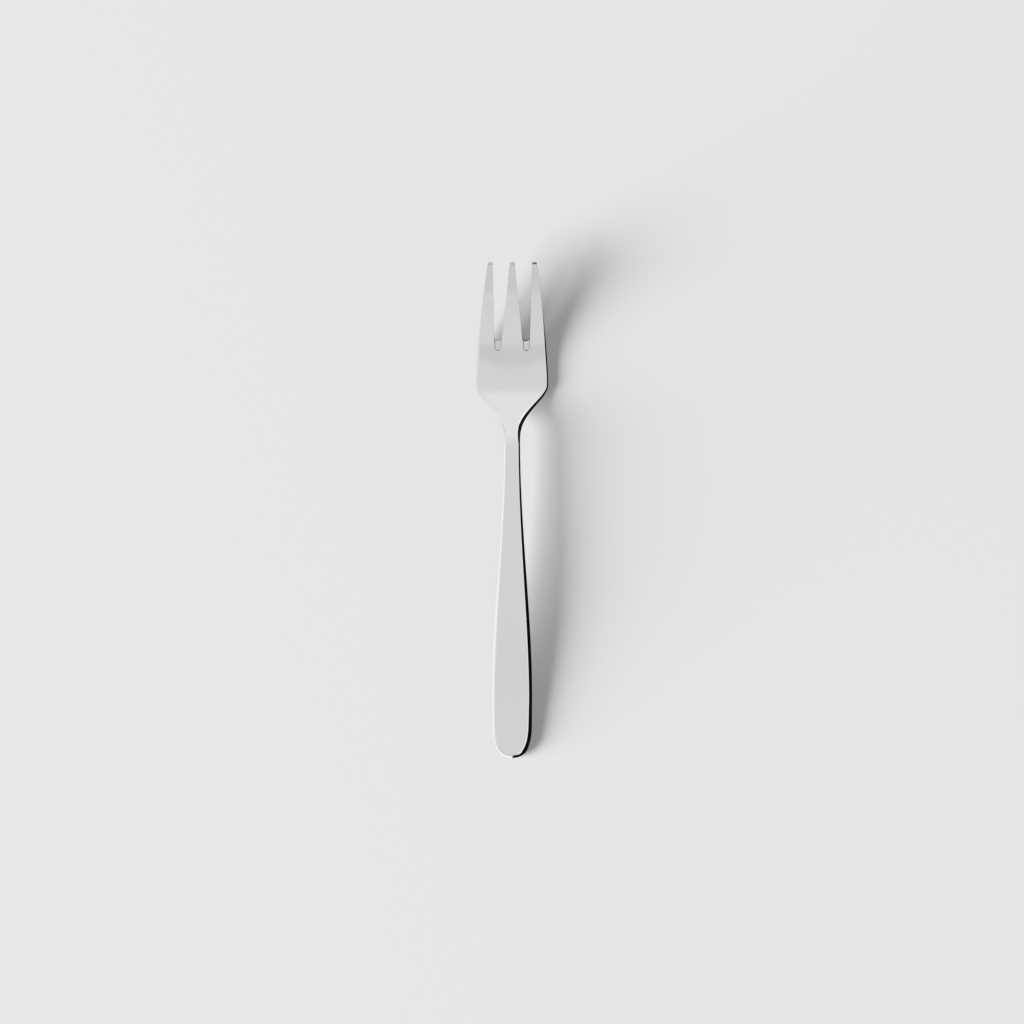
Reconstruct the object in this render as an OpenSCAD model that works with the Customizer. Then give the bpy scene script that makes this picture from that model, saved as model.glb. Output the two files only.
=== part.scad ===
// Three-tined pastry fork, pressed from one piece of polished stainless steel.
// It lies on its back as on a table: the bowl and the end of the handle touch z = 0.
// X runs across the fork, +Y from the handle to the tines, +Z up.
// The origin is on the table under the middle of the length.

/* [Overall] */
// Straight length from the end of the handle to the tips of the tines
fork_length = 145; // [130:1:165]

/* [Handle] */
// Width of the handle at its widest place
handle_width = 11.9; // [9:0.1:15]
// Distance from the end of the handle to its widest place
handle_wide_at = 16.6; // [12:0.1:30]
// Thickness of the steel at the end of the handle
handle_thickness = 3.2; // [1.8:0.1:3.5]
// Length of the rounded end of the handle
handle_end_round = 11; // [6:0.5:14]

/* [Neck] */
// Width of the neck at its narrowest place
neck_width = 4.6; // [4:0.1:7]
// Thickness of the steel at the top of the arch
neck_thickness = 3; // [2:0.1:4]
// Distance from the tips back to the narrowest place
neck_from_tips = 52.3; // [50:0.1:56]
// Distance from the tips back to the top of the arch
arch_from_tips = 54.7; // [53:0.1:60]
// Height that the steel climbs from the bowl to the top of the arch
arch_rise = 7.8; // [5:0.1:11]
// Length of the bend between the slope and the top of the arch
arch_bend = 7.2; // [4:0.1:9]

/* [Head] */
// Width of the head at its widest place
head_width = 21.1; // [18:0.1:26]
// Distance from the tips back to the widest place
head_wide_from_tips = 35.9; // [32:0.1:40]
// Thickness of the steel at the bottom of the bowl
head_thickness = 1.9; // [1.5:0.1:2.6]
// Radius of the rubbed edges of the head and the tines
head_edge = 0.45; // [0.2:0.05:0.6]
// Distance from the tips back to the lowest place of the bowl
bowl_from_tips = 36.5; // [34:0.1:40]
// Length of the bend between the bowl and the slope of the neck
bowl_bend = 4; // [3:0.1:7]
// Depth of the dish across the bowl
dish_depth = 0.7; // [0.2:0.1:1.2]
// Length over which the dish fades out towards the tines
dish_fade = 13; // [10:0.5:20]

/* [Tines] */
// Length of the tines from the roots of the slots to the tips
tine_length = 23.1; // [20:0.1:26]
// Width over the tips of the two outer tines
tip_spread = 14.2; // [12:0.1:18]
// Width of each tine at its tip
tip_width = 1.3; // [1:0.05:2]
// Thickness of the steel at the tips
tip_thickness = 1.2; // [0.9:0.1:1.8]
// Radius that rounds the end of each tine
tip_round = 0.4; // [0.1:0.05:0.45]
// Height that the tines climb from the bowl to the tips
tip_rise = 14.6; // [8:0.1:20]

/* [Slots] */
// Width of each slot at its root
slot_width = 2.05; // [1.5:0.05:2.6]
// Distance between the middles of the two slots at their roots
slot_spacing = 8.3; // [7:0.1:10]
// Length of the ground ramp behind the root of each slot
slot_ramp = 3.2; // [2:0.1:5]
// Thickness of steel left at the foot of the ramp
slot_land = 0.4; // [0.2:0.05:0.8]

/* [Hidden] */
steel = [0.78, 0.78, 0.79];

// The underside is worn flat by this depth where the fork rests.
rest_wear = 0.08;
// The end of the handle keeps this much of a flat face.
end_flat = 0.03;
// The arch of the neck begins this far behind its top, and the head this far from the tips.
neck_behind_arch = 11;
shoulder_from_tips = 47.5;
// The slope of the middle line is measured over this distance each way.
slope_reach = 0.05;
// The cuts of the slots run past the steel by this much.
overrun = 2;

// Exponents that shape the curves: 1 is straight, more bends later.
end_swell = 3;
end_blunt = 2.3;
shoulder_curve = 1.3;
taper_curve = 1.5;
rise_curve = 2;
fall_curve = 1.6;
// Largest share of half the thickness that a rounded edge takes up
full_round_share = 0.96;

// Sections along each zone, and points round each section
end_sections = 9;
handle_sections = 22;
neck_sections = 16;
head_sections = 24;
tine_sections = 12;
tip_sections = 4;
corner_points = 4;
handle_flats = 2;
head_flats = 8;
tine_flats = 2;

// Places along the fork
back_y = -fork_length / 2;
tip_y = fork_length / 2;
handle_wide_y = back_y + handle_wide_at;
arch_y = tip_y - arch_from_tips;
neck_y = tip_y - neck_from_tips;
bowl_y = tip_y - bowl_from_tips;
head_wide_y = tip_y - head_wide_from_tips;
root_y = tip_y - tine_length;
ramp_y = root_y - slot_ramp;
neck_back_y = arch_y - neck_behind_arch;
shoulder_y = tip_y - shoulder_from_tips;

// Heights of the middle of the steel
bowl_z = head_thickness / 2 - rest_wear;
end_z = handle_thickness / 2 - rest_wear;
arch_z = bowl_z + arch_rise;

function mix(a, b, share) = a + (b - a) * share;
function clamp_share(share) = max(0, min(1, share));
function ease(share) = let (s = clamp_share(share)) s * s * (3 - 2 * s);
// Area under ease() from 0 to a share, which turns an eased slope into a height
function ease_area(share) = pow(share, 3) - pow(share, 4) / 2;
function between(y, from_y, to_y) = (y - from_y) / (to_y - from_y);

// Outline: half the width of the fork at a place along it
function end_share(distance) =
    distance >= handle_end_round ? 1
    : pow(1 - pow(1 - max(distance, end_flat) / handle_end_round, end_swell), 1 / end_blunt);
function half_width(y) =
    y < neck_y
        ? mix(neck_width, handle_width, ease(between(y, neck_y, handle_wide_y))) / 2
            * end_share(y - back_y)
    : y < head_wide_y
        ? mix(neck_width, head_width, ease(pow(between(y, neck_y, head_wide_y), shoulder_curve))) / 2
    : mix(head_width, tip_spread, pow(between(y, head_wide_y, tip_y), taper_curve)) / 2;

// Side view: the middle of the steel falls from the arch to the end of the handle,
// drops down the slope into the bowl, and curves up along the tines.
function climb_area(share, first, last) =
    share < first ? first * ease_area(share / first)
    : share < 1 - last ? first / 2 + share - first
    : 1 - first / 2 - last / 2 - last * ease_area((1 - share) / last);
function climb_share(y) =
    let (run = bowl_y - arch_y, first = bowl_bend / run, last = arch_bend / run)
    climb_area((bowl_y - y) / run, first, last) / climb_area(1, first, last);
function rise_share(y) =
    let (s = between(y, bowl_y, tip_y), n = rise_curve + 1)
    (s + (pow(1 - s, n) - 1) / n) / (1 - 1 / n);
function middle_z(y) =
    y > bowl_y ? bowl_z + tip_rise * rise_share(min(y, tip_y))
    : y > arch_y ? bowl_z + arch_rise * climb_share(y)
    : mix(arch_z, end_z, ease(pow(between(y, arch_y, back_y), fall_curve)));
function slope(y) = (middle_z(y + slope_reach) - middle_z(y - slope_reach)) / (2 * slope_reach);

// The steel is a little thinner at the arch than in the handle, and thinnest at the tips.
function thickness(y) =
    y < arch_y ? mix(handle_thickness, neck_thickness, ease(between(y, back_y, arch_y)))
    : y < bowl_y ? mix(neck_thickness, head_thickness, ease(between(y, arch_y, bowl_y)))
    : mix(head_thickness, tip_thickness, between(y, bowl_y, tip_y));
function half_height(y) = thickness(y) / 2 * sqrt(1 + pow(slope(y), 2));
// The handle and the neck have fully rounded edges, and the head has nearly square ones.
function edge_radius(y) =
    y < arch_y ? thickness(y) / 2
    : mix(thickness(y) / 2, head_edge, ease(between(y, arch_y, bowl_y)));
function dish(y) =
    dish_depth * (y < bowl_y ? ease(between(y, neck_y, bowl_y)) : 1 - ease((y - bowl_y) / dish_fade));
function dish_z(x, y) = dish(y) * pow(2 * x / head_width, 2);

// Slots: each narrows in a straight line from the tips to its root.
function along_tine(y) = between(y, root_y, tip_y);
function slot_inner_x(y) = mix((slot_spacing - slot_width) / 2, tip_width / 2, along_tine(y));
function slot_outer_x(y) = mix((slot_spacing + slot_width) / 2, tip_spread / 2 - tip_width, along_tine(y));

// Rounded ends: how far a radius pulls the surface in at a distance from the end
function pull_in(distance, radius) =
    distance >= radius ? 0 : radius - sqrt(pow(radius, 2) - pow(radius - distance, 2));
function end_height_share(y) =
    let (radius = handle_thickness / 2, distance = max(y - back_y, end_flat))
    distance >= radius ? 1 : 1 - pull_in(distance, radius) / radius;

// One section across the steel: the upper side from right to left, then the lower side back.
// Points that face each other across the steel have the same x.
function side_points(left_x, right_x, height, corner_x, corner_z, flats, side) = concat(
    [for (k = [0:corner_points]) let (a = 90 * k / corner_points)
        [right_x - corner_x + corner_x * cos(a), side * (height - corner_z + corner_z * sin(a))]],
    [for (k = [1:1:flats - 1])
        [mix(right_x - corner_x, left_x + corner_x, k / flats), side * height]],
    [for (k = [0:corner_points]) let (a = 90 + 90 * k / corner_points)
        [left_x + corner_x + corner_x * cos(a), side * (height - corner_z + corner_z * sin(a))]]);
function reversed(list) = [for (k = [len(list) - 1:-1:0]) list[k]];
function section(y, left_x, right_x, height, flats) =
    let (
        corner_x = min(edge_radius(y), (right_x - left_x) / 2 * full_round_share),
        corner_z = height * min(full_round_share, 2 * edge_radius(y) / thickness(y)),
        upper = side_points(left_x, right_x, height, corner_x, corner_z, flats, 1),
        lower = side_points(left_x, right_x, height, corner_x, corner_z, flats, -1)
    )
    [for (p = concat(upper, reversed(lower))) [p.x, y, max(0, middle_z(y) + dish_z(p.x, y) + p.y)]];
function full_section(y, flats) =
    section(y, -half_width(y), half_width(y), half_height(y) * end_height_share(y), flats);
function tine_section(y, left_x, right_x) =
    let (inset = pull_in(tip_y - y, tip_round))
    section(y, left_x + inset, right_x - inset, half_height(y) - inset, tine_flats);

function evenly(from_y, to_y, count) = [for (k = [0:count]) mix(from_y, to_y, k / count)];
// Places that crowd together towards the far end, for a rounded end
function crowded(from_y, to_y, count) = [for (k = [0:count]) mix(from_y, to_y, sin(90 * k / count))];
function without_first(list) = [for (k = [1:len(list) - 1]) list[k]];

// Skin of triangles over sections with equal numbers of points, with a flat cap at each end
module skin(sections) {
    count = len(sections[0]);
    last = len(sections) - 1;
    sides = [for (i = [0:last - 1], j = [0:count - 1]) let (
        a = i * count + j,
        b = i * count + (j + 1) % count,
        c = a + count,
        d = b + count
    ) each [[a, b, d], [a, d, c]]];
    caps = [for (k = [0:count / 2 - 2]) let (m = count - 1 - k, n = last * count) each [
        [k, m, k + 1], [m, m - 1, k + 1],
        [n + k, n + k + 1, n + m], [n + m, n + k + 1, n + m - 1]
    ]];
    polyhedron(points = [for (s = sections) each s], faces = concat(sides, caps));
}

// Cutter for the root of a slot: a round-nosed groove whose floor runs down to the land
module slot_root(x) {
    start_z = middle_z(ramp_y) + dish_z(x, ramp_y) + half_height(ramp_y);
    foot_z = middle_z(root_y) + dish_z(x, root_y) - half_height(root_y) + slot_land;
    drop = atan2(start_z - foot_z, slot_ramp);
    nose = slot_width / 2;
    translate([x, ramp_y, start_z])
        rotate([-drop, 0, 0])
        linear_extrude(height = head_thickness + overrun) {
            translate([0, nose]) circle(r = nose, $fn = 32);
            translate([-nose, nose]) square([slot_width, slot_ramp + overrun]);
        }
}

module handle() {
    places = concat(
        reversed(crowded(back_y + handle_end_round, back_y, end_sections)),
        without_first(evenly(back_y + handle_end_round, neck_back_y, handle_sections)));
    color(steel) skin([for (y = places) full_section(y, handle_flats)]);
}

module neck() {
    color(steel) skin([for (y = evenly(neck_back_y, shoulder_y, neck_sections)) full_section(y, handle_flats)]);
}

module head() {
    color(steel) difference() {
        skin([for (y = evenly(shoulder_y, root_y, head_sections)) full_section(y, head_flats)]);
        for (side = [-1, 1]) slot_root(side * slot_spacing / 2);
    }
}

function tine_places() = concat(
    evenly(root_y, tip_y - tip_round, tine_sections),
    without_first(crowded(tip_y - tip_round, tip_y, tip_sections)));

module outer_tine(side) {
    color(steel) skin([for (y = tine_places()) side > 0
        ? tine_section(y, slot_outer_x(y), half_width(y))
        : tine_section(y, -half_width(y), -slot_outer_x(y))]);
}

module tine_left() {
    outer_tine(-1);
}

module tine_middle() {
    color(steel) skin([for (y = tine_places()) tine_section(y, -slot_inner_x(y), slot_inner_x(y))]);
}

module tine_right() {
    outer_tine(1);
}

handle();
neck();
head();
tine_left();
tine_middle();
tine_right();
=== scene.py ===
"""A three-tined pastry fork of polished steel, lying on its back on a pale table, seen from above.

The fork is one piece of steel. A flat blank is drawn first, with its rounded edges, its slots and
the ground roots of the slots. A press tree of geometry nodes then bends the blank to the side
curve and dishes its bowl. Lengths are in metres.
"""
import math

import bmesh
import bpy
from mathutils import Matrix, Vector


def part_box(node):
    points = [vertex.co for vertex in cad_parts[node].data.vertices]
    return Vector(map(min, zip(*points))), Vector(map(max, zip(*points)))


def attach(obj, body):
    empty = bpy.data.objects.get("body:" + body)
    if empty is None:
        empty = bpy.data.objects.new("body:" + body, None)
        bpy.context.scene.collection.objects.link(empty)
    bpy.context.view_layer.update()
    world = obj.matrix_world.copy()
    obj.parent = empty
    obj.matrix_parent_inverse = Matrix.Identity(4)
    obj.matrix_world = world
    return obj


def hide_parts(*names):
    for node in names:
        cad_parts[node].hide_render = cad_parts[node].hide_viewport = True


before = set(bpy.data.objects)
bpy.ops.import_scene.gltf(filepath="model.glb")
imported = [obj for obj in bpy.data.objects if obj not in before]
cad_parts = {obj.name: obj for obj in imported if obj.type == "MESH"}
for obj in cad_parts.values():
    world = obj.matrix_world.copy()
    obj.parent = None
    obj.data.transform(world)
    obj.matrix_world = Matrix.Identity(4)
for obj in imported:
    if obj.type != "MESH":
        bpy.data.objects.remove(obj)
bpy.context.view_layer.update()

MM = 0.001

# Places along the fork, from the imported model
BACK_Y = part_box("handle")[0][1]
ROOT_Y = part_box("tine_middle")[0][1]
TIP_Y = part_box("tine_middle")[1][1]

# Sizes of the fork, as in its drawing
HANDLE_WIDTH = 11.9 * MM
HANDLE_WIDE_AT = 16.6 * MM
HANDLE_THICKNESS = 3.2 * MM
HANDLE_END_ROUND = 11 * MM
NECK_WIDTH = 4.6 * MM
NECK_THICKNESS = 3.0 * MM
NECK_FROM_TIPS = 52.3 * MM
ARCH_FROM_TIPS = 54.7 * MM
ARCH_RISE = 7.8 * MM
ARCH_BEND = 7.2 * MM
HEAD_WIDTH = 21.1 * MM
HEAD_WIDE_FROM_TIPS = 35.9 * MM
HEAD_THICKNESS = 1.9 * MM
BOWL_FROM_TIPS = 36.5 * MM
BOWL_BEND = 4.0 * MM
DISH_DEPTH = 0.7 * MM
DISH_FADE = 13.0 * MM
TIP_SPREAD = 14.2 * MM
TIP_WIDTH = 1.3 * MM
TIP_THICKNESS = 1.2 * MM
TIP_RISE = 14.6 * MM
SLOT_WIDTH = 2.05 * MM
SLOT_SPACING = 8.3 * MM
SLOT_LAND = 2.8 * MM
REST_WEAR = 0.08 * MM

# Exponents of its curves
END_SWELL = 3
END_BLUNT = 2.3
SHOULDER_CURVE = 1.3
TAPER_CURVE = 1.5
FALL_CURVE = 1.6

# Places and heights worked out from these sizes
HANDLE_WIDE_Y = BACK_Y + HANDLE_WIDE_AT
NECK_Y = TIP_Y - NECK_FROM_TIPS
ARCH_Y = TIP_Y - ARCH_FROM_TIPS
BOWL_Y = TIP_Y - BOWL_FROM_TIPS
HEAD_WIDE_Y = TIP_Y - HEAD_WIDE_FROM_TIPS
RAMP_Y = ROOT_Y - SLOT_LAND
BOWL_Z = HEAD_THICKNESS / 2 - REST_WEAR
END_Z = HANDLE_THICKNESS / 2 - REST_WEAR

# How far the polish rounds the rims at places along the fork. The handle's end and the shoulders
# are rounded further, and the shoulders are ground in a little.
HANDLE_EDGE = 1.48 * MM
WAIST_EDGE = 0.67 * MM
HEAD_EDGE = 0.62 * MM
TINE_EDGE = 0.05 * MM
EDGE_THINS_Y = -50 * MM
EDGE_THIN_Y = 20 * MM
HEAD_EDGE_Y = 45 * MM
TINE_EDGE_Y = 62 * MM
EDGE_CURVE = 1.3
END_EDGE = 0.75 * MM
END_EDGE_RUN = 19 * MM
SHOULDER_EDGE = 1.75 * MM
SHOULDER_Y = 28 * MM
SHOULDER_RUN = 5.2 * MM
SHOULDER_INSET = 0.23 * MM
LEAN_STEP = 0.001 * MM
FULL_ROUND_SHARE = 0.98
ROUND_ACROSS_SHARE = 0.9
FLAT_STEP = 0.12 * MM

# The cut ends of the tines
TIP_ROUND_ACROSS = 0.12 * MM
TIP_CHAMFER = 0.93 * MM
TIP_CHAMFER_SOFT = 0.2 * MM
TIP_CHAMFER_SLOPE = 1.2
TIP_FACE = 0.5 * MM
TIP_FACE_SOFT = 0.1 * MM
TIP_FACE_SLOPE = 0.6
TIP_LOWER_EDGE = 0.04 * MM
THINNEST_TIP = 0.02 * MM

# The slots, the ground land behind each root, and the root's round wall
SLOT_EDGE = 0.15 * MM
GROUND_EDGE = 0.05 * MM
GROUND_DEPTH = 0.28 * MM
NOSE_LENGTH = 1.5 * MM
NOSE_START_SHARE = 0.05
NOSE_ROUND = 0.1 * MM
LAND_INSET = 0.06 * MM
WALL_DRAFT = 0.07 * MM
ROOT_HOLLOW = 0.95 * MM
ROOT_HOLLOW_RUN = 3.4 * MM
ROOT_SLANT = 0.4 * MM
ROOT_SLANT_CURVE = 0.7
ROOT_SLANT_GROWTH = 3
SLOT_SPREAD_SHARE = 0.75

# A section is whole up to a place a little ahead of the roots, and then one for each tine, whose
# edges change from the slot's to the tine's over a run.
SPLIT_Y = ROOT_Y + 0.9 * MM
SLOT_TO_TINE = 5 * MM

# Steps of the runs round a section
OUTER_ARC = 9
INNER_ARC = 5
WALL = 2
LAND = 6
FLOOR = 12
TINE_FLAT = 7
MIDDLE_FLAT = 9
SLOT_GROUP = 2 * (INNER_ARC + WALL) + FLOOR

# How close the sections stand along the fork. The steps from a ramp's start and back from the
# tips are in millimetres.
END_ROWS = 26
END_CROWDING = 3
BEFORE_NECK = 16 * MM
BEFORE_RAMP = 0.3 * MM
HANDLE_SPACING = 1.1 * MM
HEAD_SPACING = 0.5 * MM
RAMP_SPACING = 0.16 * MM
TINE_SPACING = 0.45 * MM
RAMP_STEPS = (-0.12, -0.02, 0, 0.05, 0.12, 0.2, 0.3, 0.42, 0.56, 0.72, 0.9)
TIP_STEPS = [0.004, 0.015, 0.035] + [0.06 + 0.05 * k for k in range(21)]


# The curves of the drawing

def mix(a, b, share):
    return a + (b - a) * share


def between(y, low, high):
    return (y - low) / (high - low)


def ease(share):
    s = min(1.0, max(0.0, share))
    return s * s * (3 - 2 * s)


def end_share(distance):
    """Share of the full width that the round handle end has at a distance from its back."""
    if distance >= HANDLE_END_ROUND:
        return 1.0
    left = 1 - distance / HANDLE_END_ROUND
    return (1 - left ** END_SWELL) ** (1 / END_BLUNT)


def half_width(y):
    if y < NECK_Y:
        full = mix(NECK_WIDTH, HANDLE_WIDTH, ease(between(y, NECK_Y, HANDLE_WIDE_Y))) / 2
        return full * end_share(y - BACK_Y)
    if y < HEAD_WIDE_Y:
        along = between(y, NECK_Y, HEAD_WIDE_Y) ** SHOULDER_CURVE
        inset = SHOULDER_INSET * math.sin(math.pi * along) ** 2
        return mix(NECK_WIDTH, HEAD_WIDTH, ease(along)) / 2 - inset
    return mix(HEAD_WIDTH, TIP_SPREAD, between(y, HEAD_WIDE_Y, TIP_Y) ** TAPER_CURVE) / 2


def thickness(y):
    if y < ARCH_Y:
        return mix(HANDLE_THICKNESS, NECK_THICKNESS, ease(between(y, BACK_Y, ARCH_Y)))
    if y < BOWL_Y:
        return mix(NECK_THICKNESS, HEAD_THICKNESS, ease(between(y, ARCH_Y, BOWL_Y)))
    return mix(HEAD_THICKNESS, TIP_THICKNESS, between(y, BOWL_Y, TIP_Y))


def edge_radius(y):
    """Full at the handle's end and the shoulders, tight at the waist, nearly sharp at the tips."""
    if y < EDGE_THIN_Y:
        share = max(0.0, between(y, EDGE_THINS_Y, EDGE_THIN_Y))
        fuller = END_EDGE * (1 - ease((y - BACK_Y) / END_EDGE_RUN))
        return mix(HANDLE_EDGE, WAIST_EDGE, ease(share ** EDGE_CURVE)) + fuller
    head = mix(WAIST_EDGE, HEAD_EDGE, ease(between(y, EDGE_THIN_Y, BOWL_Y)))
    head += SHOULDER_EDGE * math.exp(-((y - SHOULDER_Y) / SHOULDER_RUN) ** 2)
    return mix(head, TINE_EDGE, ease(between(y, HEAD_EDGE_Y, TINE_EDGE_Y)))


def edge_lean(y):
    """How much further a rounded edge reaches across where the outline slants."""
    rate = (half_width(y + LEAN_STEP) - half_width(y - LEAN_STEP)) / (2 * LEAN_STEP)
    return math.sqrt(1 + rate * rate)


def slot_inner_x(y):
    straight = (SLOT_SPACING - SLOT_WIDTH) / 2
    return mix(straight, TIP_WIDTH / 2, max(0.0, between(y, ROOT_Y, TIP_Y)))


def slot_outer_x(y):
    straight = (SLOT_SPACING + SLOT_WIDTH) / 2
    return mix(straight, TIP_SPREAD / 2 - TIP_WIDTH, max(0.0, between(y, ROOT_Y, TIP_Y)))


def pull_in(distance, radius):
    """How far a face draws back at a distance from a rounded end."""
    if distance >= radius:
        return 0.0
    return radius - math.sqrt(radius ** 2 - (radius - distance) ** 2)


def soft_ramp(distance, start, soft, slope):
    """Rises evenly below a start distance, after a soft beginning."""
    inside = start - distance
    if inside <= 0:
        return 0.0
    if inside < soft:
        return slope * inside ** 2 / (2 * soft)
    return slope * (inside - soft / 2)


def tip_drop(distance):
    """How far a tine's end is cut down at a distance from its tip: a chamfer and a steeper face."""
    return (soft_ramp(distance, TIP_CHAMFER, TIP_CHAMFER_SOFT, TIP_CHAMFER_SLOPE)
            + soft_ramp(distance, TIP_FACE, TIP_FACE_SOFT, TIP_FACE_SLOPE))


def nose_half_width(y):
    """Half the width of the ground land behind a slot's root, which starts with a round nose."""
    inset = LAND_INSET * (1 - ease(between(y, ROOT_Y, SPLIT_Y)))
    half = (slot_outer_x(y) - slot_inner_x(y)) / 2 - inset
    share = min(1.0, max(NOSE_START_SHARE, (y - RAMP_Y) / NOSE_LENGTH))
    return half * math.sqrt(1 - (1 - share) ** 2)


# Runs of (x, z) points. Each run leaves out its first point, which is the last of the one before.

def round_line(start, end, steps):
    """A straight line whose points crowd towards its two ends."""
    shares = [(1 - math.cos(math.pi * k / steps)) / 2 for k in range(1, steps + 1)]
    return [(mix(start[0], end[0], share), mix(start[1], end[1], share)) for share in shares]


def arc(x, z, reach_x, reach_z, start, end, steps):
    """An elliptic arc round (x, z), between two angles in degrees."""
    angles = [math.radians(mix(start, end, k / steps)) for k in range(1, steps + 1)]
    return [(x + reach_x * math.cos(a), z + reach_z * math.sin(a)) for a in angles]


def line(start, end, steps):
    return [(mix(start[0], end[0], k / steps), mix(start[1], end[1], k / steps))
            for k in range(1, steps + 1)]


def flat_run(start_x, end_x, z, steps):
    """A flat between two rounded edges, with a short step at each end so that it shades flat."""
    length = end_x - start_x
    short = math.copysign(min(FLAT_STEP, abs(length) / steps), length)
    middle = line((start_x + short, z), (end_x - short, z), steps - 2)
    return [(start_x + short, z)] + middle + [(end_x, z)]


def outer_edge(x, height, reach_x, reach_z):
    """Down the fork's right edge, from the upper face to the lower one."""
    inner_x = x - reach_x
    upper = arc(inner_x, height - reach_z, reach_x, reach_z, 90, 0, OUTER_ARC)
    lower = arc(inner_x, reach_z - height, reach_x, reach_z, 0, -90, OUTER_ARC)
    return upper + [(x, reach_z - height)] + lower


def slot_edge_above(x, height, floor_z, radius, draft):
    """Down the left wall of a slot, from the upper face to the level of the ramp's floor."""
    reach = min(radius, (height - floor_z) * FULL_ROUND_SHARE)
    upper = arc(x - radius, height - reach, radius, reach, 90, 0, INNER_ARC)
    return upper + line((x, height - reach), (x + draft, floor_z), WALL)


def slot_edge_below(x, height, floor_z, radius, draft):
    """Down the left wall of a slot, from the level of the ramp's floor to the lower face."""
    reach = min(radius, (height + floor_z) * FULL_ROUND_SHARE)
    wall = line((x + draft, floor_z), (x, reach - height), LAND // 2)
    return wall + arc(x - radius, reach - height, radius, reach, 0, -90, LAND // 2)


def mirrored(points):
    """The same run on the other side of the middle line, the other way up."""
    return [(-x, z) for x, z in reversed(points)]


def outer_reach(y, half, height):
    """Reach of the rounded outer edge, across and down."""
    reach_x = min(edge_radius(y) * edge_lean(y), half * ROUND_ACROSS_SHARE)
    reach_z = height * min(FULL_ROUND_SHARE, 2 * edge_radius(y) / thickness(y))
    return reach_x, reach_z


# Sections of the flat blank, each a closed ring that starts at the left of the upper face

def ground_depth(y):
    """Depth of the ground land at a slot's root below the upper face."""
    return GROUND_DEPTH * ease((y - RAMP_Y) / NOSE_ROUND)


def full_section(y):
    """The whole width of the fork at one place, from the handle end to the roots of the slots."""
    half = half_width(y)
    end_round = HANDLE_THICKNESS / 2
    height = thickness(y) / 2 * (1 - pull_in(y - BACK_Y, end_round) / end_round)
    reach_x, reach_z = outer_reach(y, half, height)
    flat = half - reach_x
    near_ramp = ease(between(y, HEAD_WIDE_Y, RAMP_Y))
    share = mix(flat / (HEAD_WIDTH / 2), 1, near_ramp)
    middle = (slot_inner_x(y) + slot_outer_x(y)) / 2 * share
    if y < RAMP_Y:
        slot_half = mix(SLOT_WIDTH * share * SLOT_SPREAD_SHARE, nose_half_width(RAMP_Y), near_ramp)
        edge = mix(0, GROUND_EDGE, near_ramp)
        floor_z = height
        slot = line((-slot_half - edge, height), (slot_half + edge, height), SLOT_GROUP)
    else:
        slot_half = nose_half_width(y)
        edge = mix(GROUND_EDGE, SLOT_EDGE, ease(between(y, RAMP_Y, SPLIT_Y)))
        floor_z = height - ground_depth(y)
        down = slot_edge_above(-slot_half, height, floor_z, edge, WALL_DRAFT)
        floor = round_line(down[-1], (-down[-1][0], floor_z), FLOOR)
        slot = down + floor + mirrored([(-slot_half - edge, height)] + down)[1:]
    outer_x = middle + slot_half + edge
    inner_x = middle - slot_half - edge

    upper = [(-flat, height)] + flat_run(-flat, -outer_x, height, TINE_FLAT)
    upper += [(x - middle, z) for x, z in slot]
    upper += flat_run(-inner_x, inner_x, height, MIDDLE_FLAT)
    upper += [(x + middle, z) for x, z in slot]
    upper += flat_run(outer_x, flat, height, TINE_FLAT)

    # The lower face keeps the slot's full width all along the ramp.
    full_half = (slot_outer_x(y) - slot_inner_x(y)) / 2
    under_half = mix(slot_half, full_half, near_ramp) + mix(edge, SLOT_EDGE, near_ramp)
    under_outer_x, under_inner_x = middle + under_half, middle - under_half
    lower = flat_run(flat, under_outer_x, -height, TINE_FLAT)
    lower += round_line((under_outer_x, -height), (under_inner_x, -height), FLOOR)
    lower += flat_run(under_inner_x, -under_inner_x, -height, MIDDLE_FLAT)
    lower += round_line((-under_inner_x, -height), (-under_outer_x, -height), FLOOR)
    lower += flat_run(-under_outer_x, -flat, -height, TINE_FLAT)

    right = outer_edge(half, height, reach_x, reach_z)
    left = mirrored([(flat, height)] + right)[1:-1]
    return upper + right + lower + left


def tine_section(y, side):
    """One tine's section. The side is -1 for the left tine, 0 for the middle, 1 for the right."""
    across = pull_in(TIP_Y - y, TIP_ROUND_ACROSS)
    bottom = pull_in(TIP_Y - y, TIP_LOWER_EDGE) - thickness(y) / 2
    top = max(thickness(y) / 2 - tip_drop(TIP_Y - y), bottom + THINNEST_TIP)
    height, centre_z = (top - bottom) / 2, (top + bottom) / 2
    along = ease(between(y, SPLIT_Y, SPLIT_Y + SLOT_TO_TINE))
    floor_z = mix(height - GROUND_DEPTH, 0, along)
    edge = min(mix(SLOT_EDGE, TINE_EDGE, along), height)
    draft = mix(WALL_DRAFT, 0, along)

    def slot_edge(x):
        return (slot_edge_above(x, height, floor_z, edge, draft)
                + slot_edge_below(x, height, floor_z, edge, draft))

    if side == 0:
        x = slot_inner_x(y) - across
        flat = x - edge
        right = slot_edge(x)
        left = mirrored([(flat, height)] + right)[1:-1]
        left_x = -flat
        steps = MIDDLE_FLAT
    else:
        outer_x = half_width(y) - across
        inner_x = slot_outer_x(y) + across
        reach_x, reach_z = outer_reach(y, outer_x, height)
        reach_x = min(reach_x, height)
        flat = outer_x - reach_x
        right = outer_edge(outer_x, height, reach_x, reach_z)
        left_x = inner_x + edge
        left = mirrored([(-left_x, height)] + slot_edge(-inner_x))[1:-1]
        steps = TINE_FLAT
    ring = [(left_x, height)] + flat_run(left_x, flat, height, steps)
    ring += right + flat_run(flat, left_x, -height, steps) + left
    ring = mirrored(ring) if side < 0 else ring
    return [(x, z + centre_z) for x, z in ring]


# The sections' places

def spread(start, end, spacing):
    """Evenly spread places after start, about one spacing apart, up to end."""
    count = max(1, round((end - start) / spacing))
    return [mix(start, end, k / count) for k in range(1, count + 1)]


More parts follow.
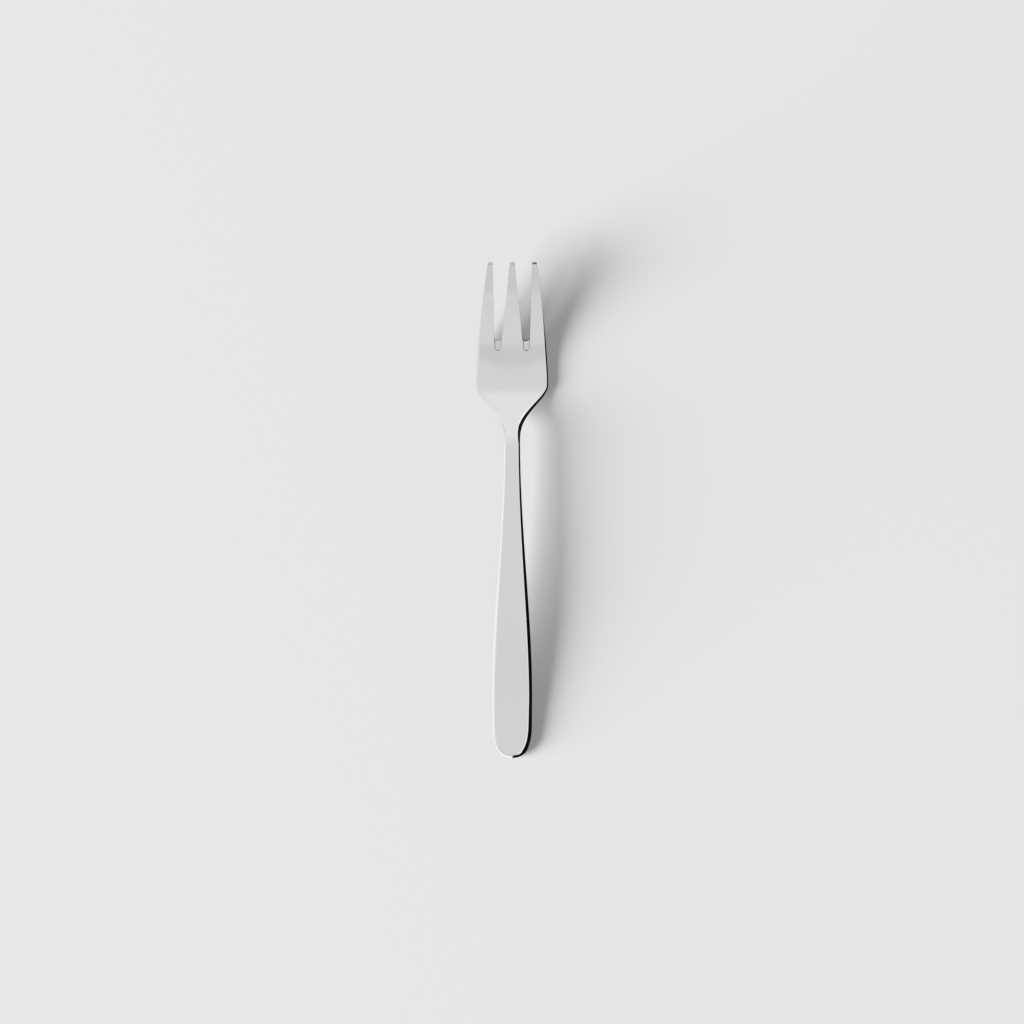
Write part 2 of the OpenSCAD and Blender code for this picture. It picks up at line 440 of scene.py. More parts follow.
def body_places():
    """Close together at the round end and along the ramps, wider along the handle."""
    places = [BACK_Y + HANDLE_END_ROUND * (k / END_ROWS) ** END_CROWDING
              for k in range(2, END_ROWS + 1)]
    places += spread(places[-1], NECK_Y - BEFORE_NECK, HANDLE_SPACING)
    places += spread(places[-1], BOWL_Y, HEAD_SPACING)
    places += spread(places[-1], RAMP_Y - BEFORE_RAMP, HEAD_SPACING)
    places += [RAMP_Y + step * MM for step in RAMP_STEPS]
    return places + spread(places[-1], SPLIT_Y, RAMP_SPACING)


def tine_places():
    places = [SPLIT_Y] + spread(SPLIT_Y, TIP_Y - TIP_STEPS[-1] * MM, TINE_SPACING)
    return places + [TIP_Y - step * MM for step in reversed(TIP_STEPS[:-1])]


# The blank's mesh

# Points closer than this are one point.
WELD = 0.00005 * MM

# Shares of painted shade, which darkens the steel at the root's wall, in the corners of the land
# and, in full, in its nose, where it fades between two distances from the ramp's start
ROOT_PAINTED_SHADE = 0.6
CORNER_PAINTED_SHADE = 0.55
PAINTED_SHADE_FADES = 0.18 * MM
PAINTED_SHADE_ENDS = 0.34 * MM
RAMP_START_SLACK = 0.01 * MM

# Columns of a full section's ring
UPPER_SLOTS = (TINE_FLAT, TINE_FLAT + SLOT_GROUP + MIDDLE_FLAT)
UPPER_COUNT = 2 * (TINE_FLAT + SLOT_GROUP) + MIDDLE_FLAT
RIGHT_COUNT = 2 * OUTER_ARC + 1
LOWER_START = UPPER_COUNT + RIGHT_COUNT
LOWER_SLOTS = (LOWER_START + TINE_FLAT, LOWER_START + TINE_FLAT + FLOOR + MIDDLE_FLAT)


def hollow(step):
    """How far a slot's round root is drawn back, at a step across the slot."""
    return ROOT_HOLLOW * math.sin(math.pi * step / FLOOR)


def body_ring(y):
    """A full section as (x, y, z) points, drawn back near the round roots of the slots."""
    points = [[x, y, z] for x, z in full_section(y)]
    near_root = ease(between(y, SPLIT_Y - ROOT_HOLLOW_RUN, SPLIT_Y))
    for first in [upper + INNER_ARC + WALL for upper in UPPER_SLOTS] + list(LOWER_SLOTS):
        for step in range(FLOOR + 1):
            points[first + step][1] -= hollow(step) * near_root
    return points


def painted_shade(y, column):
    """How much painted shade darkens the corners of the ground land, at a column of a ring."""
    if y <= RAMP_Y - RAMP_START_SLACK:
        return 0.0
    for first in UPPER_SLOTS:
        step = column - first - INNER_ARC
        if 1 <= step <= 2 * WALL + FLOOR:
            in_nose = 1 - ease(between(y, RAMP_Y + PAINTED_SHADE_FADES, RAMP_Y + PAINTED_SHADE_ENDS))
            in_corner = float(step <= WALL + 1 or step >= WALL + FLOOR - 1)
            return max(in_nose, CORNER_PAINTED_SHADE * in_corner)
    return 0.0


def join_rings(blank, rings, ground_columns=()):
    """Quads between rings of equal length. Faces of the ground columns get the ground finish."""
    made = [[blank.verts.new(point) for point in ring] for ring in rings]
    # The points carry painted shade for the corners and the nose of the ground land.
    if ground_columns:
        layer = blank.verts.layers.float["painted_shade"]
        for ring, points in zip(made, rings):
            ring_y = max(point[1] for point in points)
            for column, vertex in enumerate(ring):
                vertex[layer] = painted_shade(ring_y, column)
    for ring, next_ring in zip(made, made[1:]):
        count = len(ring)
        for k in range(count):
            corners = (ring[k], ring[(k + 1) % count], next_ring[(k + 1) % count], next_ring[k])
            face = blank.faces.new(corners)
            face.smooth = True
            face.material_index = int(k in ground_columns)
    return made


def slot_root_wall(blank, last_ring, upper_first, lower_first, left_edge, right_edge):
    """The round wall at a slot's root, from the ground land down to the lower face.

    left_edge and right_edge are the two tines' edges below the land, from the top down.
    """
    rows = [[last_ring[upper_first + INNER_ARC + WALL + step].co for step in range(FLOOR + 1)]]
    for level in range(1, LAND):
        left, right = left_edge[level], right_edge[level]
        slant = ROOT_SLANT * min(1, level / (LAND // 2)) ** ROOT_SLANT_CURVE
        under = max(0.0, left_edge[LAND // 2][0] - left[0]) / SLOT_EDGE
        row = []
        for step in range(FLOOR + 1):
            across = (1 - math.cos(math.pi * step / FLOOR)) / 2
            growth = min(1.0, ROOT_SLANT_GROWTH * math.sin(math.pi * step / FLOOR))
            forward = slant * (1 - under) * growth
            x = mix(left[0], right[0], across)
            row.append((x, SPLIT_Y - hollow(step) + forward, left[1]))
        rows.append(row)
    rows.append([last_ring[lower_first + FLOOR - step].co for step in range(FLOOR + 1)])
    made = [[blank.verts.new(point) for point in row] for row in rows]
    # The root's wall gets painted shade in full.
    layer = blank.verts.layers.float["painted_shade"]
    for row in made[1:-1]:
        for vertex in row:
            vertex[layer] = ROOT_PAINTED_SHADE
    for row, next_row in zip(made, made[1:]):
        for step in range(FLOOR):
            corners = (row[step], row[step + 1], next_row[step + 1], next_row[step])
            face = blank.faces.new(corners)
            face.smooth = True
            face.material_index = 1


def close_end(blank, ring):
    face = blank.faces.new(ring)
    face.smooth = True


def flat_blank():
    """The fork's blank before the press, with its edges rounded and its slots cut and ground."""
    blank = bmesh.new()
    # A layer for the painted shade in the slots' corners and at their roots.
    blank.verts.layers.float.new("painted_shade")
    places = body_places()
    behind = [y for y in places if y <= RAMP_Y]
    ahead = [y for y in places if y >= RAMP_Y]
    ground = {first + k for first in UPPER_SLOTS for k in range(SLOT_GROUP)}
    close_end(blank, join_rings(blank, [body_ring(y) for y in behind])[0])
    root_ring = join_rings(blank, [body_ring(y) for y in ahead], ground)[-1]

    for side in (-1, 0, 1):
        rings = [[(x, y, z) for x, z in tine_section(y, side)] for y in tine_places()]
        close_end(blank, join_rings(blank, rings)[-1])

    height = thickness(SPLIT_Y) / 2
    land_z = height - GROUND_DEPTH
    middle = (slot_inner_x(SPLIT_Y) + slot_outer_x(SPLIT_Y)) / 2
    wall_x = slot_inner_x(SPLIT_Y) - middle
    run = [(wall_x + WALL_DRAFT, land_z)]
    run += slot_edge_below(wall_x, height, land_z, SLOT_EDGE, WALL_DRAFT)
    for upper_first, lower_first, side in zip(UPPER_SLOTS, reversed(LOWER_SLOTS), (-1, 1)):
        left_edge = [(side * middle + x, z) for x, z in run]
        right_edge = [(side * middle - x, z) for x, z in run]
        slot_root_wall(blank, root_ring, upper_first, lower_first, left_edge, right_edge)

    bmesh.ops.remove_doubles(blank, verts=blank.verts, dist=WELD)
    bmesh.ops.recalc_face_normals(blank, faces=blank.faces)
    mesh = bpy.data.meshes.new("fork_blank")
    blank.to_mesh(mesh)
    blank.free()
    return mesh


# The press, a tree of geometry nodes

class Bench:
    """A node tree under work. Each method adds one node and gives its result."""

    def __init__(self, tree):
        self.tree = tree

    def node(self, kind, *inputs, **settings):
        node = self.tree.nodes.new(kind)
        for name, value in settings.items():
            setattr(node, name, value)
        for socket, value in zip(node.inputs, inputs):
            self.put(socket, value)
        return node

    def put(self, socket, value):
        if isinstance(value, bpy.types.NodeSocket):
            self.tree.links.new(value, socket)
        else:
            socket.default_value = value

    def calc(self, operation, *values, clamp=False):
        node = self.node("ShaderNodeMath", *values, operation=operation, use_clamp=clamp)
        return node.outputs[0]

    def eased(self, value, low, high):
        """Goes smoothly from 0 to 1 as the value goes from low to high."""
        node = self.node("ShaderNodeMapRange", interpolation_type="SMOOTHSTEP")
        for name, entry in (("Value", value), ("From Min", low), ("From Max", high)):
            self.put(node.inputs[name], entry)
        return node.outputs["Result"]

    def share(self, value, low, high):
        """Goes evenly from 0 to 1 as the value goes from low to high."""
        return self.calc("DIVIDE", self.calc("SUBTRACT", value, low),
                         self.calc("SUBTRACT", high, low), clamp=True)

    def blend(self, share, low, high):
        """Goes from low to high as the share goes from 0 to 1."""
        return self.calc("MULTIPLY_ADD", share, self.calc("SUBTRACT", high, low), low)


PRESS_SIZES = {
    "Back end": BACK_Y, "Neck place": NECK_Y, "Arch place": ARCH_Y, "Bowl place": BOWL_Y,
    "Tips": TIP_Y, "End height": END_Z, "Bowl height": BOWL_Z, "Arch rise": ARCH_RISE,
    "Arch bend": ARCH_BEND, "Bowl bend": BOWL_BEND, "Handle fall": FALL_CURVE,
    "Tip rise": TIP_RISE, "Head width": HEAD_WIDTH, "Dish depth": DISH_DEPTH,
    "Dish fade": DISH_FADE,
}


def handle_fall(bench, size, y):
    """How far the handle lies below the arch, and its slope. It falls from the arch to its end."""
    calc = bench.calc
    run = calc("SUBTRACT", size["Arch place"], size["Back end"])
    back_share = bench.share(y, size["Arch place"], size["Back end"])
    fall = calc("POWER", back_share, size["Handle fall"])
    arch_height = calc("ADD", size["Bowl height"], size["Arch rise"])
    drop = calc("SUBTRACT", arch_height, size["End height"])
    ease_rate = calc("MULTIPLY", calc("MULTIPLY", fall, 6.0), calc("SUBTRACT", 1.0, fall))
    fall_rate = calc("MULTIPLY", size["Handle fall"],
                     calc("POWER", back_share, calc("SUBTRACT", size["Handle fall"], 1.0)))
    rate = calc("MULTIPLY", ease_rate, fall_rate)
    slope = calc("DIVIDE", calc("MULTIPLY", drop, rate), run)
    return calc("MULTIPLY", drop, bench.eased(fall, 0.0, 1.0)), slope


def bowl_climb(bench, size, y):
    """Height above the bowl and slope, from the bowl back to the arch: straight between bends."""
    calc = bench.calc
    run = calc("SUBTRACT", size["Bowl place"], size["Arch place"])
    climbed = bench.share(y, size["Bowl place"], size["Arch place"])
    first = calc("DIVIDE", size["Bowl bend"], run)
    last = calc("DIVIDE", size["Arch bend"], run)
    in_first = calc("DIVIDE", climbed, first, clamp=True)
    in_last = calc("DIVIDE", calc("SUBTRACT", 1.0, climbed), last, clamp=True)

    def ease_area(value):
        cubed = calc("POWER", value, 3.0)
        return calc("MULTIPLY", cubed, calc("SUBTRACT", 1.0, calc("MULTIPLY", value, 0.5)))

    straight = calc("SUBTRACT", calc("SUBTRACT", 1.0, first), last)
    middle_part = calc("MINIMUM", straight, calc("MAXIMUM", 0.0, calc("SUBTRACT", climbed, first)))
    first_part = calc("MULTIPLY", first, ease_area(in_first))
    last_part = calc("MULTIPLY", last, calc("SUBTRACT", 0.5, ease_area(in_last)))
    whole = calc("SUBTRACT", 1.0, calc("MULTIPLY", calc("ADD", first, last), 0.5))
    scale = calc("DIVIDE", size["Arch rise"], whole)
    climb = calc("ADD", first_part, calc("ADD", middle_part, last_part))
    rate = calc("MULTIPLY", bench.eased(in_first, 0.0, 1.0), bench.eased(in_last, 0.0, 1.0))
    slope = calc("DIVIDE", calc("MULTIPLY", scale, rate), run)
    return calc("MULTIPLY", scale, climb), slope


def tine_rise(bench, size, y):
    """Height above the bowl and slope, from the bowl to the tips. It starts level."""
    calc = bench.calc
    run = calc("SUBTRACT", size["Tips"], size["Bowl place"])
    risen = bench.share(y, size["Bowl place"], size["Tips"])
    left = calc("SUBTRACT", 1.0, risen)
    curve = calc("DIVIDE", calc("SUBTRACT", calc("POWER", left, 3.0), 1.0), 3.0)
    scale = calc("MULTIPLY", size["Tip rise"], 1.5)
    rate = calc("SUBTRACT", 1.0, calc("POWER", left, 2.0))
    slope = calc("DIVIDE", calc("MULTIPLY", scale, rate), run)
    return calc("MULTIPLY", scale, calc("ADD", risen, curve)), slope


def dish_lift(bench, size, x, y):
    """How far the dish lifts the sides of the bowl."""
    calc, eased = bench.calc, bench.eased
    grows = eased(y, size["Neck place"], size["Bowl place"])
    fade_end = calc("ADD", size["Bowl place"], size["Dish fade"])
    fades = calc("SUBTRACT", 1.0, eased(y, size["Bowl place"], fade_end))
    side_share = calc("DIVIDE", calc("MULTIPLY", x, 2.0), size["Head width"])
    depth = calc("MULTIPLY", size["Dish depth"], calc("MULTIPLY", grows, fades))
    return calc("MULTIPLY", depth, calc("MULTIPLY", side_share, side_share))


def press_tree():
    """Bends a flat blank to the fork's side curve, dishes its bowl and gives it two finishes."""
    tree = bpy.data.node_groups.new("fork_press", "GeometryNodeTree")
    face = tree.interface
    face.new_socket("Blank", in_out="INPUT", socket_type="NodeSocketGeometry")
    for name in PRESS_SIZES:
        face.new_socket(name, in_out="INPUT", socket_type="NodeSocketFloat")
    for name in ("Polish", "Ground finish"):
        face.new_socket(name, in_out="INPUT", socket_type="NodeSocketMaterial")
    face.new_socket("Fork", in_out="OUTPUT", socket_type="NodeSocketGeometry")
    bench = Bench(tree)
    calc = bench.calc
    size = tree.nodes.new("NodeGroupInput").outputs
    place = bench.node("GeometryNodeInputPosition").outputs[0]
    x, y, z = bench.node("ShaderNodeSeparateXYZ", place).outputs

    fall_z, fall_slope = handle_fall(bench, size, y)
    climb_z, climb_slope = bowl_climb(bench, size, y)
    rise_z, rise_slope = tine_rise(bench, size, y)
    dish_z = dish_lift(bench, size, x, y)
    middle_z = calc("SUBTRACT", calc("ADD", size["Bowl height"], climb_z), fall_z)
    middle_z = calc("ADD", calc("ADD", middle_z, rise_z), dish_z)
    slope = calc("SUBTRACT", calc("ADD", fall_slope, rise_slope), climb_slope)
    steepness = calc("SQRT", calc("ADD", 1.0, calc("MULTIPLY", slope, slope)))
    pressed_z = calc("ADD", middle_z, calc("MULTIPLY", z, steepness))
    # The underside is worn flat where the fork rests.
    pressed = bench.node("ShaderNodeCombineXYZ", x, y, calc("MAXIMUM", pressed_z, 0.0))

    bent = bench.node("GeometryNodeSetPosition", size["Blank"])
    bench.put(bent.inputs["Position"], pressed.outputs[0])
    ground = bench.node("GeometryNodeInputMaterialIndex").outputs[0]
    whole_fork = bench.node("GeometryNodeRealizeInstances", bent.outputs[0])
    # The blank's material index is kept, because the first finish sets it anew.
    kept = bench.node("GeometryNodeStoreNamedAttribute", whole_fork.outputs[0],
                      data_type="INT", domain="FACE")
    bench.put(kept.inputs["Name"], "ground")
    bench.put(kept.inputs["Value"], ground)
    polished = bench.node("GeometryNodeSetMaterial", kept.outputs[0])
    bench.put(polished.inputs["Material"], size["Polish"])
    marked = bench.node("GeometryNodeInputNamedAttribute", "ground", data_type="INT")
    finished = bench.node("GeometryNodeSetMaterial", polished.outputs[0])
    bench.put(finished.inputs["Selection"], marked.outputs["Attribute"])
    bench.put(finished.inputs["Material"], size["Ground finish"])
    out = tree.nodes.new("NodeGroupOutput")
    tree.links.new(finished.outputs[0], out.inputs[0])
    return tree


def pressed_fork(name, polish, ground_finish):
    """Presses the blank and gives the fork as a plain mesh."""
    blank = bpy.data.objects.new(name + "_blank", flat_blank())
    bpy.context.collection.objects.link(blank)
    press = blank.modifiers.new("press", "NODES")
    press.node_group = press_tree()
    entries = {item.name: item.identifier for item in press.node_group.interface.items_tree
               if item.in_out == "INPUT"}
    for entry, value in PRESS_SIZES.items():
        press[entries[entry]] = value
    press[entries["Polish"]] = polish
    press[entries["Ground finish"]] = ground_finish
    evaluated = blank.evaluated_get(bpy.context.evaluated_depsgraph_get())
    mesh = bpy.data.meshes.new_from_object(evaluated)
    mesh.name = name
    blank.modifiers.remove(press)
    bpy.data.objects.remove(blank)
    fork = bpy.data.objects.new(name, mesh)
    bpy.context.collection.objects.link(fork)
    return fork


# Finishes

LINE_FINENESS = (9000.0, 260.0, 9000.0)
# How far the painted shade darkens the steel
PAINTED_SHADE_DARKENS = 0.75


def shader_bench(name):
    material = bpy.data.materials.new(name)
    material.use_nodes = True
    material.node_tree.nodes.clear()
    return material, Bench(material.node_tree)


def polish_marks_group():
    """Fine lines of the polishing wheel, soft smudges of handling, a little tone change and painted
    shade where the mesh marks it.
    """
    group = bpy.data.node_groups.new("polish_marks", "ShaderNodeTree")
    face = group.interface
    for name, value in (("Line scale", 1.0), ("Line strength", 0.5), ("Smudge scale", 40.0),
                        ("Smudge strength", 0.5), ("Roughness", 0.1), ("Tone change", 0.02),
                        ("Painted shade", 0.0)):
        socket = face.new_socket(name, in_out="INPUT", socket_type="NodeSocketFloat")
        socket.default_value = value
    face.new_socket("Steel", in_out="INPUT", socket_type="NodeSocketColor")
    face.new_socket("Base Color", in_out="OUTPUT", socket_type="NodeSocketColor")
    face.new_socket("Roughness", in_out="OUTPUT", socket_type="NodeSocketFloat")
    face.new_socket("Height", in_out="OUTPUT", socket_type="NodeSocketFloat")
    bench = Bench(group)
    value = group.nodes.new("NodeGroupInput").outputs
    place = bench.node("ShaderNodeTexCoord").outputs["Object"]

    # Lines run along the fork, much closer together across it.
    stretched = bench.node("ShaderNodeVectorMath", place, LINE_FINENESS,
                           operation="MULTIPLY").outputs[0]
    scaled = bench.node("ShaderNodeVectorMath", stretched, operation="SCALE")
    bench.put(scaled.inputs["Scale"], value["Line scale"])
    lines = bench.node("ShaderNodeTexNoise", noise_dimensions="3D")
    bench.put(lines.inputs["Vector"], scaled.outputs[0])
    bench.put(lines.inputs["Scale"], 1.0)
    bench.put(lines.inputs["Detail"], 3.0)
    smudge = bench.node("ShaderNodeTexNoise", noise_dimensions="3D")
    bench.put(smudge.inputs["Vector"], place)
    bench.put(smudge.inputs["Scale"], value["Smudge scale"])
    bench.put(smudge.inputs["Detail"], 4.0)
    bench.put(smudge.inputs["Roughness"], 0.6)
    soft = bench.calc("SUBTRACT", smudge.outputs[0], 0.5)
    fine = bench.calc("SUBTRACT", lines.outputs[0], 0.5)

    tone = bench.calc("ADD", 1.0, bench.calc("MULTIPLY", soft, value["Tone change"]))
    tone = bench.calc("ADD", tone, bench.calc(
        "MULTIPLY", fine, bench.calc("MULTIPLY", value["Tone change"], value["Line strength"])))
    # Polishing residue left in the corners darkens the steel.
    # Painted shade darkens the steel in the corners of the ground land and at the slots' roots.
    kept = bench.calc("SUBTRACT", 1.0, bench.calc("MULTIPLY", value["Painted shade"], PAINTED_SHADE_DARKENS))
    tone = bench.calc("MULTIPLY", tone, kept)
    colour = bench.node("ShaderNodeVectorMath", value["Steel"], operation="SCALE")
    bench.put(colour.inputs["Scale"], tone)
    change = bench.calc("ADD", bench.calc("MULTIPLY", soft, value["Smudge strength"]),
                        bench.calc("MULTIPLY", fine, value["Line strength"]))
    rough = bench.calc("MULTIPLY", value["Roughness"], bench.calc("ADD", 1.0, change))
    out = group.nodes.new("NodeGroupOutput")
    bench.put(out.inputs["Base Color"], colour.outputs[0])
    bench.put(out.inputs["Roughness"], rough)
    bench.put(out.inputs["Height"], bench.calc("MULTIPLY", fine, value["Line strength"]))
    return group


def steel(name, marks, colour, roughness, line_strength, smudge_strength, bump):
    """Steel with the polish marks, and with the painted shade that the mesh carries."""
    material, bench = shader_bench(name)
    group = bench.node("ShaderNodeGroup", node_tree=marks)
    # The mesh's painted shade for the slots' corners and roots
    corners = bench.node("ShaderNodeAttribute", attribute_name="painted_shade")
    for entry, value in (("Steel", colour), ("Roughness", roughness),
                         ("Painted shade", corners.outputs["Fac"]),
                         ("Line strength", line_strength), ("Smudge strength", smudge_strength),
                         ("Line scale", 1.0), ("Smudge scale", 60.0), ("Tone change", 0.03)):
        bench.put(group.inputs[entry], value)
    relief = bench.node("ShaderNodeBump")
    relief.inputs["Strength"].default_value = bump
    relief.inputs["Distance"].default_value = 0.01 * MM
    bench.put(relief.inputs["Height"], group.outputs["Height"])
    surface = bench.node("ShaderNodeBsdfPrincipled")
    surface.inputs["Metallic"].default_value = 1.0
    bench.put(surface.inputs["Base Color"], group.outputs["Base Color"])
    bench.put(surface.inputs["Roughness"], group.outputs["Roughness"])
    bench.put(surface.inputs["Normal"], relief.outputs["Normal"])
    out = bench.node("ShaderNodeOutputMaterial")
    bench.put(out.inputs["Surface"], surface.outputs[0])
    return material


def comes_off_steel(bench, light_path):
    """1 for a ray straight off the steel, and 0 for one that has met the table before."""
    direct = bench.calc("LESS_THAN", light_path["Diffuse Depth"], 0.5)
    return bench.calc("MULTIPLY", light_path["Is Glossy Ray"], direct)


# Background light that the fork's shadow doesn't reach
FLOOR_FILL = 0.24

# Levels of the table as the steel sees it. It is lit on the left and in shadow on the right, and a
# strip close to the fork has levels of its own.
FAR_LEFT = 1.2
FAR_LEFT_AT_HEAD = 0.8
NEAR_LEFT = 0.96
NEAR_LEFT_AT_HEAD = 0.8
NEAR_RIGHT_AT_END = 0.35
NEAR_RIGHT = 0.7
FAR_RIGHT_AHEAD = 0.45

# The strip's reach to each side, and where along the fork the levels change
STRIP_REACH = 9.5 * MM
STRIP_REACH_AT_NECK = 3.5 * MM
STRIP_SOFT = 1.5 * MM
MIDDLE_SOFT = 0.3 * MM
BEHIND_END = (68 * MM, 72 * MM)
END_TO_WAIST = (-45 * MM, -15 * MM)
WAIST_TO_NECK = (-15 * MM, 5 * MM)
NECK_TO_HEAD = (20 * MM, 29 * MM)
FAR_AHEAD = (100 * MM, 200 * MM)


def seen_table_level(bench, x, y):
    """How bright the steel sees the table at a place."""
    calc, eased, blend = bench.calc, bench.eased, bench.blend
    behind = eased(calc("MULTIPLY", y, -1.0), *BEHIND_END)
    at_neck = eased(y, *WAIST_TO_NECK)
    at_head = eased(y, *NECK_TO_HEAD)

    def outside_strip(reach):
        over = calc("SUBTRACT", calc("ABSOLUTE", x), reach)
        return calc("MAXIMUM", behind, eased(over, -STRIP_SOFT, STRIP_SOFT))

    left = blend(outside_strip(STRIP_REACH), blend(at_head, NEAR_LEFT, NEAR_LEFT_AT_HEAD),
                 blend(at_head, FAR_LEFT, FAR_LEFT_AT_HEAD))
    right = blend(outside_strip(blend(at_neck, STRIP_REACH, STRIP_REACH_AT_NECK)),
                  blend(eased(y, *END_TO_WAIST), NEAR_RIGHT_AT_END, NEAR_RIGHT),
                  calc("MULTIPLY", eased(y, *FAR_AHEAD), FAR_RIGHT_AHEAD))
    return blend(eased(x, -MIDDLE_SOFT, MIDDLE_SOFT), left, right)


# The table top's grain, and the darkest and palest tone that it gives the paper
GRAIN_FINENESS = 900.0
PAPER_TONES = (0.797, 0.803)


def table_paper():
    """The pale, matt table top."""
    material, bench = shader_bench("table_top")
    place = bench.node("ShaderNodeTexCoord").outputs["Object"]
    grain = bench.node("ShaderNodeTexNoise")
    bench.put(grain.inputs["Vector"], place)
    bench.put(grain.inputs["Scale"], GRAIN_FINENESS)
    bench.put(grain.inputs["Detail"], 2.0)
    tone = bench.node("ShaderNodeMapRange")
    bench.put(tone.inputs["Value"], grain.outputs[0])
    bench.put(tone.inputs["To Min"], PAPER_TONES[0])
    bench.put(tone.inputs["To Max"], PAPER_TONES[1])
    surface = bench.node("ShaderNodeBsdfPrincipled")
    bench.put(surface.inputs["Base Color"], tone.outputs["Result"])
    surface.inputs["Roughness"].default_value = 0.9
    surface.inputs["Specular IOR Level"].default_value = 0.0
    surface.inputs["Emission Color"].default_value = (1, 1, 1, 1)
    light_path = bench.node("ShaderNodeLightPath").outputs
    bench.put(surface.inputs["Emission Strength"],
              bench.calc("MULTIPLY", light_path["Is Camera Ray"], FLOOR_FILL))
    x, y, z = bench.node("ShaderNodeSeparateXYZ", place).outputs
    seen = bench.node("ShaderNodeEmission")
    bench.put(seen.inputs["Color"], seen_table_level(bench, x, y))
    bench.put(seen.inputs["Strength"], comes_off_steel(bench, light_path))
    mixed = bench.node("ShaderNodeMixShader", light_path["Is Glossy Ray"],
                       surface.outputs[0], seen.outputs[0])
    out = bench.node("ShaderNodeOutputMaterial")
    bench.put(out.inputs["Surface"], mixed.outputs[0])
    return material


# The fork

marks = polish_marks_group()
polished_steel = steel("polished_steel", marks, colour=(0.74, 0.74, 0.742, 1), roughness=0.05,
                       line_strength=0.5, smudge_strength=0.5, bump=0.15)
ground_steel = steel("ground_slot_steel", marks, colour=(0.70, 0.70, 0.702, 1), roughness=0.16,
                     line_strength=1.0, smudge_strength=0.4, bump=0.4)
pastry_fork = pressed_fork("pastry_fork", polished_steel, ground_steel)
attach(pastry_fork, "root")
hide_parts("handle", "neck", "head", "tine_left", "tine_middle", "tine_right")


# The table, the light and the camera

TABLE_HALF = 3.0
table_mesh = bpy.data.meshes.new("table_top")
table_mesh.from_pydata([(-TABLE_HALF, -TABLE_HALF, 0), (TABLE_HALF, -TABLE_HALF, 0),
                        (TABLE_HALF, TABLE_HALF, 0), (-TABLE_HALF, TABLE_HALF, 0)],
                       [], [(0, 1, 2, 3)])
table_mesh.materials.append(table_paper())
table_top = bpy.data.objects.new("table_top", table_mesh)
bpy.context.collection.objects.link(table_top)

KEY_FAR = 15.0
KEY_WIDTH = 9.2
KEY_HEIGHT = 12.1
KEY_TURN = math.radians(197)
KEY_POWER = 6130
key = bpy.data.lights.new("window_light", "AREA")
key.shape = "RECTANGLE"
key.size = KEY_WIDTH
key.size_y = KEY_HEIGHT
key.energy = KEY_POWER
key_light = bpy.data.objects.new("window_light", key)
key_light.location = (KEY_FAR * math.cos(KEY_TURN), KEY_FAR * math.sin(KEY_TURN), KEY_HEIGHT / 2)
level_way = Vector((math.cos(KEY_TURN), math.sin(KEY_TURN), 0))
key_light.rotation_euler = level_way.to_track_quat("Z", "Y").to_euler()
key_light.visible_glossy = False
bpy.context.collection.objects.link(key_light)


ROOM_LIGHT = 0.05
BACKDROP = (0.85, 0.85, 0.85, 1)

# What the steel sees in the room, as (degrees from straight up, level). The ceiling's stops go from
# the horizon ahead of the tips to the one behind the handle, and the sides' from left to right.
CEILING = (
    (-90, 0.45), (-73, 0.45), (-69.5, 1.005), (-52, 1.0), (-40, 0.985), (-20, 0.928), (-8, 0.89),
    (2, 0.866), (20, 0.862), (51, 0.862), (55.3, 0.838), (56.9, 0.86), (58.3, 0.78),
    (62.5, 0.775), (64, 0.4), (72, 0.4), (74.5, 1.2))
SIDES = (
    (-90, 1.45), (-80, 1.35), (-66, 1.2), (-50, 1.04), (-38, 1.0), (12, 1.0), (20, 1.1),
    (30, 1.35), (90, 1.35))

# The dark right side begins at an angle, which is nearer to the middle at the two ends of the room.
DARK_FROM = 34
DARK_FROM_AT_ENDS = 1
DARK_TURNS = 64
DARK_TURNED = 71
DARK_SOFT = 1
DARK_SHARE = 0.995

# A dim patch of the ceiling over the bowl, in degrees
PATCH_BACKWARD = 27.5
PATCH_REACH_ALONG = 9
PATCH_REACH_ACROSS = 13
PATCH_SHARE = 0.105


def angle_ramp(bench, degrees, stops):
    """A grey ramp over an angle, through (degrees, level) stops."""
    place = bench.calc("MULTIPLY_ADD", degrees, 1 / 180, 0.5, clamp=True)
    node = bench.node("ShaderNodeValToRGB", place)
    ramp = node.color_ramp
    while len(ramp.elements) < len(stops):
        ramp.elements.new(0.5)
    for element, (angle, level) in zip(ramp.elements, stops):
        element.position = 0.5 + angle / 180
        element.color = (level, level, level, 1)
    return node.outputs["Color"]


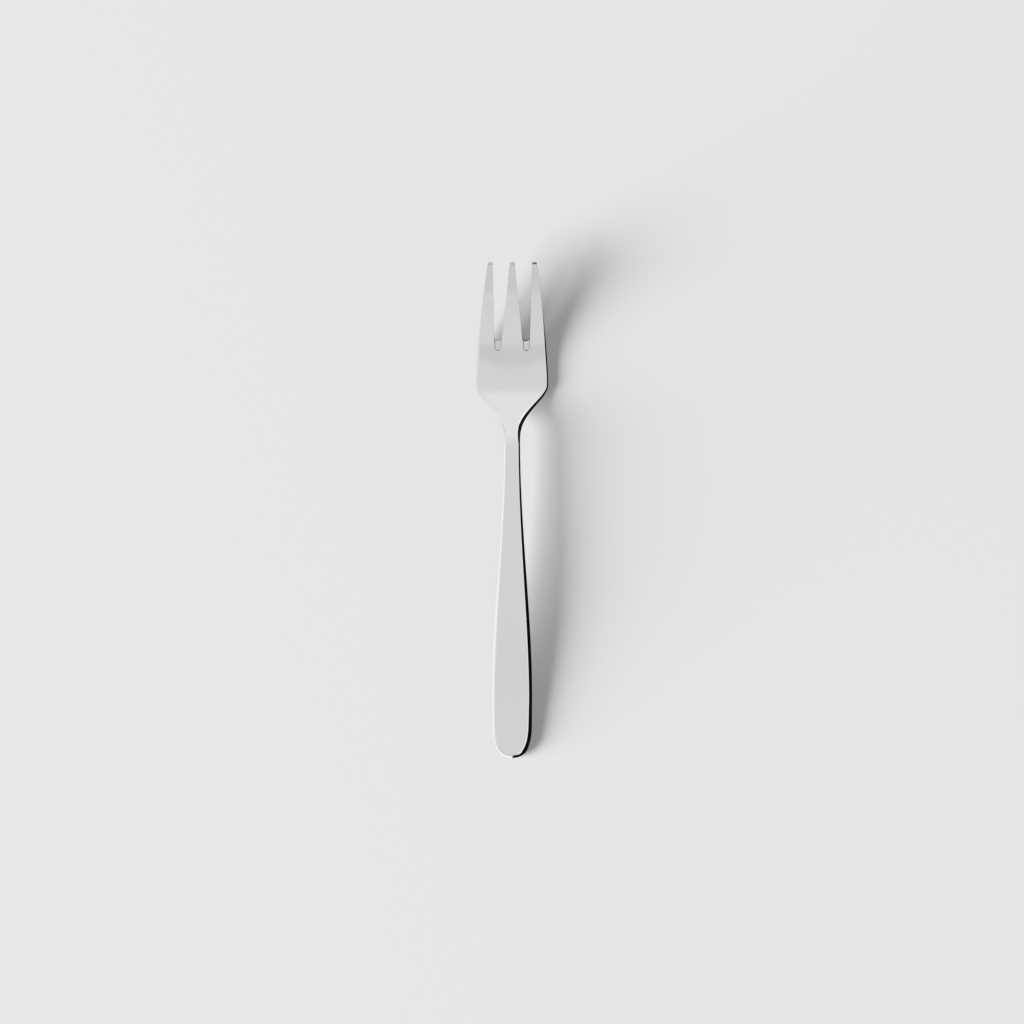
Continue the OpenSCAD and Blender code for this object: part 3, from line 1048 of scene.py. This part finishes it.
def seen_room_level(bench, way):
    """How bright the steel sees the room: a lit ceiling, a bright left and a dark right."""
    calc = bench.calc
    x, y, z = bench.node("ShaderNodeSeparateXYZ", way).outputs
    degree = math.radians(1)
    backward = calc("DIVIDE", calc("ARCTAN2", calc("MULTIPLY", y, -1.0), z), degree)
    rightward = calc("DIVIDE", calc("ARCSINE", x), degree)
    # Ahead, only what lies straight ahead counts as low, so that the left rims mirror light.
    forward = calc("DIVIDE", calc("ARCSINE", y), degree)
    along = calc("SUBTRACT", calc("MAXIMUM", backward, 0.0), calc("MAXIMUM", forward, 0.0))
    lamps = calc("MULTIPLY", angle_ramp(bench, along, CEILING),
                 angle_ramp(bench, rightward, SIDES))

    turn = bench.eased(calc("ABSOLUTE", backward), DARK_TURNS, DARK_TURNED)
    edge = bench.blend(turn, DARK_FROM, DARK_FROM_AT_ENDS)
    dark = bench.share(rightward, calc("SUBTRACT", edge, DARK_SOFT), calc("ADD", edge, DARK_SOFT))
    lit = calc("SUBTRACT", 1.0, calc("MULTIPLY", DARK_SHARE, dark))

    patch_along = calc("DIVIDE", calc("SUBTRACT", backward, PATCH_BACKWARD), PATCH_REACH_ALONG)
    patch_across = calc("DIVIDE", rightward, PATCH_REACH_ACROSS)
    far = calc("ADD", calc("MULTIPLY", patch_along, patch_along),
               calc("MULTIPLY", patch_across, patch_across))
    fade = calc("EXPONENT", calc("MULTIPLY", calc("MULTIPLY", far, far), -1.0))
    undimmed = calc("SUBTRACT", 1.0, calc("MULTIPLY", fade, PATCH_SHARE))
    return calc("MULTIPLY", calc("MULTIPLY", lamps, undimmed), lit)


def studio():
    """An even pale room. The steel and the camera each see it in a light of their own."""
    world = bpy.data.worlds.new("studio")
    world.use_nodes = True
    world.node_tree.nodes.clear()
    bench = Bench(world.node_tree)
    way = bench.node("ShaderNodeTexCoord").outputs["Generated"]
    light_path = bench.node("ShaderNodeLightPath").outputs
    room = bench.node("ShaderNodeBackground", (1, 1, 1, 1), ROOM_LIGHT)
    reflected = bench.node("ShaderNodeBackground", seen_room_level(bench, way), 1.0)
    backdrop = bench.node("ShaderNodeBackground", BACKDROP, 1.0)
    for_steel = bench.node("ShaderNodeMixShader", comes_off_steel(bench, light_path),
                           room.outputs[0], reflected.outputs[0])
    for_camera = bench.node("ShaderNodeMixShader", light_path["Is Camera Ray"],
                            for_steel.outputs[0], backdrop.outputs[0])
    out = bench.node("ShaderNodeOutputWorld")
    bench.put(out.inputs["Surface"], for_camera.outputs[0])
    return world


scene = bpy.context.scene
scene.world = studio()
scene.view_settings.view_transform = "Standard"

CAMERA_PLACE = (-0.06 * MM, -0.53 * MM, 8.327)
LENS_LENGTH = 1000
SENSOR_WIDTH = 36
lens = bpy.data.cameras.new("camera")
lens.lens = LENS_LENGTH
lens.sensor_width = SENSOR_WIDTH
camera = bpy.data.objects.new("camera", lens)
camera.location = CAMERA_PLACE
bpy.context.collection.objects.link(camera)
scene.camera = camera
